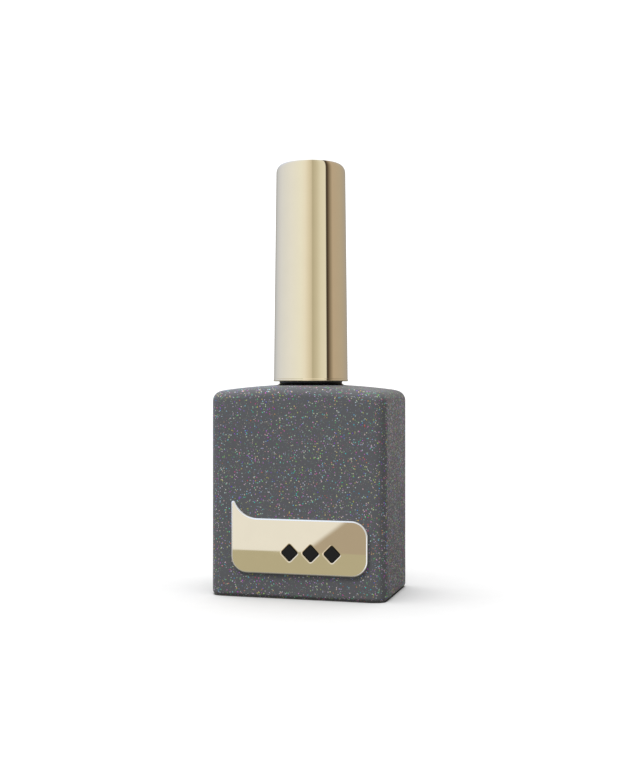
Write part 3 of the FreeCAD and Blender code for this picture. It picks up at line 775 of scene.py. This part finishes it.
def bristle_tree(material):
    """Bristles that leave a round root and spread into a flat fan with a rounded tip."""
    floats = ("Root Radius", "Half Width", "Half Depth", "Root Top", "Root End", "Tip", "Thickness")
    tree, given, out = node_group("bristle_fan", [(n, "NodeSocketFloat") for n in floats]
                                  + [("Count", "NodeSocketInt"), ("Seed", "NodeSocketInt")])
    size = given.outputs
    strand = linked(tree, "GeometryNodeCurvePrimitiveLine", {"Start": (0, 0, 0), "End": (0, 0, 1)})
    strand = linked(tree, "GeometryNodeResampleCurve", {"Curve": strand.outputs[0], "Count": 12})
    spots = linked(tree, "GeometryNodePoints", {"Count": size["Count"]})
    strands = linked(tree, "GeometryNodeInstanceOnPoints",
                     {"Points": spots.outputs[0], "Instance": strand.outputs[0]})
    geometry = strands.outputs[0]
    fields = {}
    for offset, (name, low, high) in enumerate(
        (("turn", 0.0, 2 * math.pi), ("spread", 0.0, 1.0), ("stray", -1.0, 1.0), ("length", 0.0, 1.0))
    ):
        store = linked(tree, "GeometryNodeStoreNamedAttribute",
                       {"Geometry": geometry, "Name": name},
                       data_type="FLOAT", domain="INSTANCE")
        value = random_number(tree, size["Seed"], offset * 7, low, high)
        tree.links.new(value, store.inputs["Value"])
        geometry = store.outputs[0]
        read = linked(tree, "GeometryNodeInputNamedAttribute", {"Name": name}, data_type="FLOAT")
        fields[name] = read.outputs[0]
    real = linked(tree, "GeometryNodeRealizeInstances", {"Geometry": geometry})
    along = linked(tree, "GeometryNodeSplineParameter").outputs["Factor"]
    out_share = math_node(tree, "SQRT", fields["spread"])
    cosine = math_node(tree, "MULTIPLY", math_node(tree, "COSINE", fields["turn"]), out_share)
    sine = math_node(tree, "MULTIPLY", math_node(tree, "SINE", fields["turn"]), out_share)
    rooted = math_node(tree, "SUBTRACT", size["Root Top"], size["Root End"])
    whole_length = math_node(tree, "SUBTRACT", size["Root Top"], size["Tip"])
    root_share = math_node(tree, "DIVIDE", rooted, whole_length)
    past_root = math_node(tree, "SUBTRACT", along, root_share)
    free = math_node(tree, "DIVIDE", past_root, math_node(tree, "SUBTRACT", 1.0, root_share))
    free = math_node(tree, "MAXIMUM", free, 0.0)
    opening = math_node(tree, "MULTIPLY", math_node(tree, "POWER", free, 0.8), QUARTER)
    spread = math_node(tree, "SINE", opening)
    axes = []
    for unit, reach in ((cosine, size["Half Width"]), (sine, size["Half Depth"])):
        at_root = math_node(tree, "MULTIPLY", unit, size["Root Radius"])
        at_tip = math_node(tree, "MULTIPLY", unit, reach)
        gap = math_node(tree, "SUBTRACT", at_tip, at_root)
        axes.append(math_node(tree, "MULTIPLY_ADD", gap, spread, at_root))
    wave = math_node(tree, "SINE", math_node(tree, "MULTIPLY", free, 5.0))
    sway = math_node(tree, "MULTIPLY", fields["stray"], 0.05 * MM)
    bend = math_node(tree, "MULTIPLY", sway, wave)
    across = math_node(tree, "ADD", axes[0], bend)
    off_middle = math_node(tree, "POWER", math_node(tree, "ABSOLUTE", cosine), 2.4)
    rounded = math_node(tree, "MULTIPLY", off_middle, 0.16)
    shorter = math_node(tree, "ADD", rounded, math_node(tree, "MULTIPLY", fields["length"], 0.03))
    length = math_node(tree, "SUBTRACT", 1.0, math_node(tree, "MULTIPLY", shorter, free))
    reached = math_node(tree, "MULTIPLY", along, length)
    downward = math_node(tree, "SUBTRACT", size["Tip"], size["Root Top"])
    height = math_node(tree, "ADD", size["Root Top"], math_node(tree, "MULTIPLY", reached, downward))
    place = linked(tree, "ShaderNodeCombineXYZ", {"X": across, "Y": axes[1], "Z": height})
    moved = linked(tree, "GeometryNodeSetPosition",
                   {"Geometry": real.outputs[0], "Position": place.outputs[0]})
    narrowing = math_node(tree, "SUBTRACT", 1.0, math_node(tree, "MULTIPLY", free, 0.45))
    taper = math_node(tree, "MULTIPLY", size["Thickness"], narrowing)
    section = linked(tree, "GeometryNodeCurvePrimitiveCircle", {"Resolution": 6, "Radius": 1.0})
    radius = linked(tree, "GeometryNodeSetCurveRadius", {"Curve": moved.outputs[0], "Radius": taper})
    solid = linked(tree, "GeometryNodeCurveToMesh",
                   {"Curve": radius.outputs[0], "Profile Curve": section.outputs[0], "Fill Caps": True})
    if "Scale" in solid.inputs:
        tree.links.new(taper, solid.inputs["Scale"])
    whole = linked(tree, "GeometryNodeRealizeInstances", {"Geometry": solid.outputs[0]})
    paint = linked(tree, "GeometryNodeSetMaterial", {"Geometry": whole.outputs[0], "Material": material})
    tree.links.new(paint.outputs[0], out.inputs[0])
    return tree


def run_tree(name, tree, values, finish):
    """Run a geometry tree once and keep the result as a plain mesh."""
    seed_mesh = bpy.data.meshes.new(name + "_start")
    start = bpy.data.objects.new(name + "_start", seed_mesh)
    bpy.context.scene.collection.objects.link(start)
    modifier = start.modifiers.new(name, "NODES")
    modifier.node_group = tree
    for socket in tree.interface.items_tree:
        if socket.in_out == "INPUT" and socket.name in values:
            modifier[socket.identifier] = values[socket.name]
    shown = start.evaluated_get(bpy.context.evaluated_depsgraph_get())
    mesh = bpy.data.meshes.new_from_object(shown)
    mesh.name = name
    mesh.materials.clear()
    bpy.data.objects.remove(start)
    for attribute in ("turn", "spread", "stray", "length"):
        if attribute in mesh.attributes:
            mesh.attributes.remove(mesh.attributes[attribute])
    mesh.polygons.foreach_set("use_smooth", [True] * len(mesh.polygons))
    return add_object(name, mesh, [finish])


def make_bristles():
    thickness = 0.045
    values = {
        "Root Radius": 0.76 * MM,
        "Half Width": (TUFT_HIGH.x - thickness * 2 - 0.05) * MM,
        "Half Depth": (TUFT_HIGH.y - thickness * 2) * MM,
        "Root Top": (TUFT_HIGH.z - 0.1) * MM,
        "Root End": (TUFT_HIGH.z - 4.0) * MM,
        "Tip": (TUFT_LOW.z + thickness) * MM,
        "Thickness": thickness * MM,
        "Count": 420,
        "Seed": 11,
    }
    piece = run_tree("nylon_bristles", bristle_tree(FINISHES["nylon"]), values, "nylon")
    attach(piece, "cap")
    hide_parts("bristle_tuft")


def rib_tree(material):
    """Upright ribs spaced evenly round the inside of the overcap."""
    floats = ("Ring Radius", "Rib Depth", "Rib Width", "Rib Height", "Middle")
    tree, given, out = node_group("rib_ring", [(n, "NodeSocketFloat") for n in floats]
                                  + [("Count", "NodeSocketInt")])
    size = given.outputs
    ring = linked(tree, "GeometryNodeMeshCircle", {"Vertices": size["Count"], "Radius": size["Ring Radius"]})
    extents = linked(tree, "ShaderNodeCombineXYZ",
                     {"X": size["Rib Depth"], "Y": size["Rib Width"], "Z": size["Rib Height"]})
    block = linked(tree, "GeometryNodeMeshCube", {"Size": extents.outputs[0]})
    place = linked(tree, "GeometryNodeInputPosition")
    facing = linked(tree, "FunctionNodeAlignRotationToVector", {"Vector": place.outputs[0]}, axis="X")
    ribs = linked(tree, "GeometryNodeInstanceOnPoints",
                  {"Points": ring.outputs[0], "Instance": block.outputs[0], "Rotation": facing.outputs[0]})
    lift = linked(tree, "ShaderNodeCombineXYZ", {"Z": size["Middle"]})
    raised = linked(tree, "GeometryNodeTranslateInstances",
                    {"Instances": ribs.outputs[0], "Translation": lift.outputs[0], "Local Space": False})
    whole = linked(tree, "GeometryNodeRealizeInstances", {"Geometry": raised.outputs[0]})
    paint = linked(tree, "GeometryNodeSetMaterial", {"Geometry": whole.outputs[0], "Material": material})
    tree.links.new(paint.outputs[0], out.inputs[0])
    return tree


def make_ribs():
    foot = box_mm("inner_cap")[1].z + 0.3
    ceiling = OVERCAP_HIGH.z - OVERCAP_ROOF
    bore = OVERCAP_RADIUS - OVERCAP_TAPER - OVERCAP_WALL
    values = {
        "Ring Radius": (bore - RIB_DEPTH / 2 + 0.15) * MM,
        "Rib Depth": RIB_DEPTH * MM,
        "Rib Width": RIB_WIDTH * MM,
        "Rib Height": (ceiling - foot) * MM,
        "Middle": (ceiling + foot) / 2 * MM,
        "Count": RIB_COUNT,
    }
    piece = run_tree("overcap_ribs", rib_tree(FINISHES["cap_gold"]), values, "cap_gold")
    soften = piece.modifiers.new("soft_edges", "BEVEL")
    soften.width = 0.08 * MM
    soften.segments = 2
    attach(piece, "cap")


# ---------------------------------------------------------------- stage, light and camera


def make_floor():
    half = 1.2
    mesh = bpy.data.meshes.new("floor")
    mesh.from_pydata(
        [(-half, -half, 0), (half, -half, 0), (half, half, 0), (-half, half, 0)], [], [(0, 1, 2, 3)]
    )
    material, tree, shader = new_material("white_table_painted_shadow")
    # Painted contact shadow: the table's colour goes near black where ambient occlusion finds the object
    # within 4 mm, on top of the shadow that the lamps cast.
    contact_shade_ao = tree.nodes.new("ShaderNodeAmbientOcclusion")
    contact_shade_ao.inputs["Distance"].default_value = 4 * MM
    outside_painted_shadow = smooth_range(tree, contact_shade_ao.outputs["AO"], 0.25, 0.62)
    grain = noise(tree, object_coordinates(tree), 3.0)
    paper = mix_colour(tree, grain, (0.79, 0.79, 0.79), (0.81, 0.81, 0.81))
    tree.links.new(mix_colour(tree, outside_painted_shadow, (0.03, 0.03, 0.03), paper), shader.inputs["Base Color"])
    shader.inputs["Roughness"].default_value = 0.9
    shader.inputs["Specular IOR Level"].default_value = 0.0
    floor = bpy.data.objects.new("floor", mesh)
    mesh.materials.append(material)
    bpy.context.scene.collection.objects.link(floor)
    floor.visible_glossy = False
    floor.visible_diffuse = False


SURROUND = (
    (-180, (0.20, 0.19, 0.18)),
    (-160, (0.46, 0.47, 0.50)),
    (-142, (0.62, 0.71, 0.92)),
    (-125, (0.73, 0.82, 1.10)),
    (-110, (0.79, 0.90, 1.20)),
    (-67, (0.89, 0.99, 1.23)),
    (-32, (0.94, 1.03, 1.16)),
    (-19, (0.92, 0.97, 1.06)),
    (-6, (0.80, 0.81, 0.81)),
    (2, (0.70, 0.70, 0.68)),
    (5, (0.54, 0.54, 0.49)),
    (19, (0.66, 0.67, 0.64)),
    (32, (0.81, 0.85, 0.87)),
    (49, (0.87, 0.92, 0.98)),
    (51, (0.06, 0.05, 0.04)),
    (56, (0.08, 0.06, 0.05)),
    (67, (0.36, 0.32, 0.28)),
    (75, (0.55, 0.49, 0.46)),
    (113, (0.52, 0.49, 0.47)),
    (142, (0.46, 0.44, 0.44)),
    (160, (0.40, 0.38, 0.36)),
    (180, (0.20, 0.19, 0.18)),
)


TAN_CARD = (0.49, 0.46, 0.41)
OLIVE_CARD = (0.53, 0.54, 0.44)
BRIGHT_CARD = (1.05, 1.05, 1.10)
DIM_CARD = (0.15, 0.14, 0.13)
FLOOR_CARD = (0.25, 0.23, 0.18)
SOFT_ABOVE = 0.62
SOFT_BELOW = 0.12
BACKDROP = 1.2


def degrees_of(tree, rise, run):
    return math_node(tree, "MULTIPLY", math_node(tree, "ARCTAN2", rise, run), 180 / math.pi)


def length_of(tree, x, y):
    squares = math_node(tree, "ADD", math_node(tree, "MULTIPLY", x, x), math_node(tree, "MULTIPLY", y, y))
    return math_node(tree, "SQRT", squares)


def turned_axis(tree, x, y, turn):
    """The part of a direction that lies along an axis in the floor's plane."""
    along_x = math_node(tree, "MULTIPLY", x, math.cos(turn))
    return math_node(tree, "ADD", along_x, math_node(tree, "MULTIPLY", y, math.sin(turn)))


def wall_colour(tree, x, y, turn, tilt):
    """The studio's walls, which change colour going round and arch over the top."""
    right = turned_axis(tree, x, y, CAMERA_TURN)
    away = turned_axis(tree, x, y, CAMERA_TURN + QUARTER)
    vault = math_node(tree, "ARCTAN2", right, math_node(tree, "SUBTRACT", 0.986, away))
    vault = math_node(tree, "MULTIPLY", vault, 360 / math.pi)
    raised = smooth_range(tree, tilt, 10.0, 12.0)
    level = math_node(tree, "SUBTRACT", 1.0, raised)
    around = math_node(tree, "ADD", math_node(tree, "MULTIPLY", vault, raised),
                       math_node(tree, "MULTIPLY", turn, level))
    ramp = tree.nodes.new("ShaderNodeValToRGB")
    stops = ramp.color_ramp.elements
    for angle, _ in SURROUND[1:-1]:
        stops.new((angle + 180) / 360)
    for stop, (_, colour) in zip(stops, SURROUND):
        stop.color = (*colour, 1)
    share = math_node(tree, "DIVIDE", math_node(tree, "ADD", around, 180.0), 360.0)
    tree.links.new(share, ramp.inputs[0])
    return ramp.outputs["Color"]


def low_cards(tree, card, turn, tilt):
    """Cards lying below the level of the object's middle."""
    low = smooth_range(tree, tilt, -4.2, -4.8)
    lean = math_node(tree, "SUBTRACT", turn, math_node(tree, "MULTIPLY", tilt, 1.37))
    slanted = math_node(tree, "MULTIPLY", smooth_range(tree, lean, -20.55, -20.05), low)
    card = mix_colour(tree, slanted, card, TAN_CARD)
    table = math_node(tree, "ADD", tilt, math_node(tree, "MULTIPLY", turn, 0.042))
    card = mix_colour(tree, smooth_range(tree, table, -9.31, -9.37), card, OLIVE_CARD)
    past_left = smooth_range(tree, turn, -26.0, -24.0)
    aside = math_node(tree, "MULTIPLY", past_left, smooth_range(tree, turn, 46.0, 40.0))
    card = mix_colour(tree, math_node(tree, "MULTIPLY", aside, low), card, BRIGHT_CARD)
    behind = math_node(tree, "MULTIPLY", smooth_range(tree, turn, -45.0, -60.0), low)
    card = mix_colour(tree, behind, card, TAN_CARD)
    past_right = smooth_range(tree, turn, 50.0, 54.0)
    dim_side = math_node(tree, "MULTIPLY", past_right, smooth_range(tree, tilt, -1.5, -9.0))
    card = mix_colour(tree, dim_side, card, DIM_CARD)
    return mix_colour(tree, smooth_range(tree, tilt, -24.0, -40.0), card, FLOOR_CARD)


def background(tree, strength, colour=(1, 1, 1, 1)):
    """A background from a colour and a strength, either of which may be a socket."""
    node = tree.nodes.new("ShaderNodeBackground")
    for name, given in (("Color", colour), ("Strength", strength)):
        if hasattr(given, "is_output"):
            tree.links.new(given, node.inputs[name])
        else:
            node.inputs[name].default_value = given
    return node.outputs[0]


def make_surroundings():
    """White all round for the soft light. What shines sees a studio of cards round it instead."""
    world = bpy.data.worlds.new("studio")
    bpy.context.scene.world = world
    world.use_nodes = True
    tree = world.node_tree
    tree.nodes.clear()
    split = tree.nodes.new("ShaderNodeSeparateXYZ")
    tree.links.new(tree.nodes.new("ShaderNodeTexCoord").outputs["Generated"], split.inputs[0])
    x, y, z = split.outputs
    turn = degrees_of(tree, x, math_node(tree, "MULTIPLY", y, -1.0))
    turn = math_node(tree, "SUBTRACT", turn, math.degrees(CAMERA_TURN))
    turn = math_node(tree, "WRAP", turn, 180.0, -180.0)
    tilt = degrees_of(tree, z, length_of(tree, x, y))
    card = low_cards(tree, wall_colour(tree, x, y, turn, tilt), turn, tilt)
    path = tree.nodes.new("ShaderNodeLightPath")
    lit = background(tree, smooth_range(tree, z, -0.05, 0.05, SOFT_BELOW, SOFT_ABOVE))
    seen_by = (("Is Glossy Ray", background(tree, 1.0, card)), ("Is Camera Ray", background(tree, BACKDROP)))
    for kind, seen in seen_by:
        mix = tree.nodes.new("ShaderNodeMixShader")
        tree.links.new(path.outputs[kind], mix.inputs[0])
        tree.links.new(lit, mix.inputs[1])
        tree.links.new(seen, mix.inputs[2])
        lit = mix.outputs[0]
    out = tree.nodes.new("ShaderNodeOutputWorld")
    tree.links.new(lit, out.inputs["Surface"])


def broad_light(name, toward, strength, spread):
    """A far-off light, as broad in the sky as spread says in degrees."""
    data = bpy.data.lights.new(name, "SUN")
    data.energy = strength
    data.angle = math.radians(spread)
    lamp = bpy.data.objects.new(name, data)
    lamp.rotation_euler = Vector(toward).to_track_quat("-Z", "Y").to_euler()
    lamp.visible_glossy = False
    bpy.context.scene.collection.objects.link(lamp)
    return lamp


def make_lights():
    """A broad light overhead, and a window at the upper left that lights all but the floor."""
    broad_light("overhead_softbox", (0.15, 0.02, -1.0), 2.5, 90)
    window = broad_light("upper_left_window", (0.5, 0.8, -1.2), 0.9, 20)
    unlit = bpy.data.collections.new("not_lit_by_window")
    unlit.objects.link(bpy.data.objects["floor"])
    window.light_linking.receiver_collection = unlit
    unlit.collection_objects[0].light_linking.link_state = "EXCLUDE"


def make_camera():
    turn = CAMERA_TURN
    toward = Vector((-math.sin(turn), math.cos(turn), 0))
    right = Vector((math.cos(turn), math.sin(turn), 0))
    data = bpy.data.cameras.new("camera")
    data.lens = FOCAL_LENGTH
    data.sensor_width = 36
    data.shift_y = FRAME_SHIFT
    data.clip_start = 0.01
    data.clip_end = 20
    camera = bpy.data.objects.new("camera", data)
    place = -toward * CAMERA_DISTANCE + right * CAMERA_ASIDE
    camera.location = Vector((place.x, place.y, CAMERA_HEIGHT)) * MM
    camera.rotation_euler = toward.to_track_quat("-Z", "Y").to_euler()
    bpy.context.scene.collection.objects.link(camera)
    bpy.context.scene.camera = camera


make_camera()
make_surroundings()
make_floor()
make_lights()
finish_cad_nodes()
make_bottle()
make_front_plate()
make_overcap()
make_ribs()
make_bristles()
bpy.context.scene.view_settings.view_transform = "Standard"
